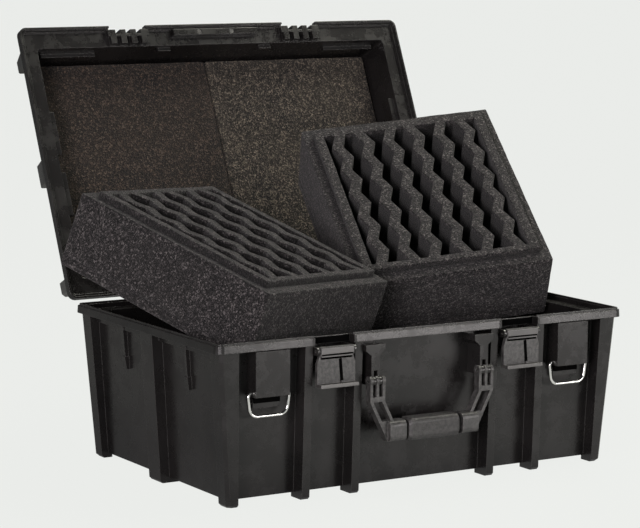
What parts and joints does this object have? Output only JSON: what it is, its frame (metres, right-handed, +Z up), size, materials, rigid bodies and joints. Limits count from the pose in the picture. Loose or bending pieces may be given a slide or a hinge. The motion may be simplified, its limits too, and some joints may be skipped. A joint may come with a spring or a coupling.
{
  "type": "miniature figure case",
  "caption": "Rigid carry case with a ribbed tub, a hinged lid, swing-up latches, a folding handle, strap rings and slotted foam trays for miniature figures.",
  "frame": {"origin": "middle of the tub's flat underside; the feet reach 6 mm lower", "axes": "+X to the right along the case's long side seen from the front, +Y to the back where the hinges are, +Z up"},
  "size_m": [0.646, 0.5739, 0.5149],
  "materials": {
    "case_plastic": "fine moulded texture, near black, semi-matt",
    "grip_rubber": "matt black",
    "pin_steel": "bright drawn steel",
    "ring_chrome": "polished chrome plate",
    "foam": "open-cell charcoal foam"
  },
  "bodies": {
    "case": {"tub": "case_plastic", "floor_pad_left": "foam", "floor_pad_right": "foam", "handle_bracket_left": "case_plastic", "handle_bracket_right": "case_plastic", "handle_pin_left": "pin_steel", "handle_pin_right": "pin_steel", "hinge_pin_left": "pin_steel", "hinge_pin_right": "pin_steel", "latch_pin_left": "pin_steel", "latch_pin_right": "pin_steel", "ring_plate_left": "case_plastic", "ring_plate_right": "case_plastic"},
    "lid": {"lid_shell": "case_plastic", "lid_foam_left": "foam", "lid_foam_right": "foam", "lid_front_plate": "case_plastic", "lid_plate_screw_left": "pin_steel", "lid_plate_screw_right": "pin_steel"},
    "handle": {"handle_frame": "case_plastic", "handle_grip": "grip_rubber"},
    "left_latch": {"latch_left": "case_plastic"},
    "right_latch": {"latch_right": "case_plastic"},
    "left_ring": {"strap_ring_left": "ring_chrome"},
    "right_ring": {"strap_ring_right": "ring_chrome"},
    "left_lower_tray": {"lower_tray_left_block": "foam", "lower_tray_left_base": "foam"},
    "right_lower_tray": {"lower_tray_right_block": "foam", "lower_tray_right_base": "foam"},
    "left_upper_tray": {"upper_tray_left_block": "foam", "upper_tray_left_base": "foam"},
    "right_upper_tray": {"upper_tray_right_block": "foam", "upper_tray_right_base": "foam"}
  },
  "joints": [
    {"name": "lid_hinge", "type": "hinge", "parent": "case", "child": "lid", "pos_m": [0, 0.1835, 0.18015], "axis": [-1, 0, 0], "range_deg": [-114.2, 0], "deforming": ["upper_tray_left_block", "upper_tray_left_base", "upper_tray_right_block", "upper_tray_right_base"]},
    {"name": "handle_swing", "type": "hinge", "parent": "case", "child": "handle", "pos_m": [0, -0.18, 0.125], "axis": [-1, 0, 0], "range_deg": [0, 110]},
    {"name": "left_latch_swing", "type": "hinge", "parent": "case", "child": "left_latch", "pos_m": [-0.128, -0.178, 0.165], "axis": [-1, 0, 0], "range_deg": [0, 175]},
    {"name": "right_latch_swing", "type": "hinge", "parent": "case", "child": "right_latch", "pos_m": [0.128, -0.178, 0.165], "axis": [-1, 0, 0], "range_deg": [0, 175]},
    {"name": "left_ring_swing", "type": "hinge", "parent": "case", "child": "left_ring", "pos_m": [-0.2075, -0.165, 0.1225], "axis": [-1, 0, 0], "range_deg": [0, 120]},
    {"name": "right_ring_swing", "type": "hinge", "parent": "case", "child": "right_ring", "pos_m": [0.2075, -0.165, 0.1225], "axis": [-1, 0, 0], "range_deg": [0, 120]},
    {"name": "left_lower_tray_lift", "type": "slide", "parent": "case", "child": "left_lower_tray", "axis": [0, 0, 1], "range_m": [0, 0.18]},
    {"name": "right_lower_tray_lift", "type": "slide", "parent": "case", "child": "right_lower_tray", "axis": [0, 0, 1], "range_m": [0, 0.18]},
    {"name": "left_upper_tray_lift", "type": "slide", "parent": "left_lower_tray", "child": "left_upper_tray", "axis": [0, 0, 1], "range_m": [0, 0.15]},
    {"name": "right_upper_tray_lift", "type": "slide", "parent": "right_lower_tray", "child": "right_upper_tray", "axis": [0, 0, 1], "range_m": [0, 0.15]}
  ]
}
